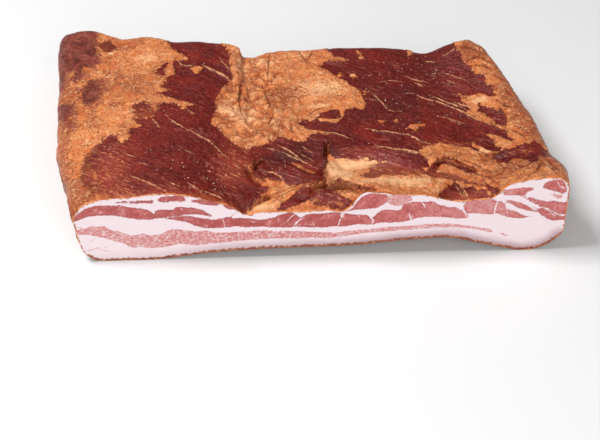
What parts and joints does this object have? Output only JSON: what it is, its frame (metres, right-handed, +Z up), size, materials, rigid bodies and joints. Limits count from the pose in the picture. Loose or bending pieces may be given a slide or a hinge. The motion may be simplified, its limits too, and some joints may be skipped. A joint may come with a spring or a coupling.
{
  "type": "cold-smoked bacon slab",
  "caption": "Slab of cold-smoked streaky bacon with a browned, folded top, a rind underside and one straight knife cut that shows layers of lean and fat.",
  "frame": {"origin": "under the middle of the slab's box, on the surface it lies on", "axes": "+X along the knife cut from left to right, +Y from the cut back over the top, +Z up out of the smoked top"},
  "size_m": [0.2946, 0.1528, 0.0555],
  "materials": {
    "smoked_meat": "smoked crust of dark red lean and tan fat, slightly glossy; the cut is pink lean in pinkish white fat; the rind is matt brown"
  },
  "bodies": {
    "root": {"bacon_slab": "smoked_meat"}
  },
  "joints": []
}
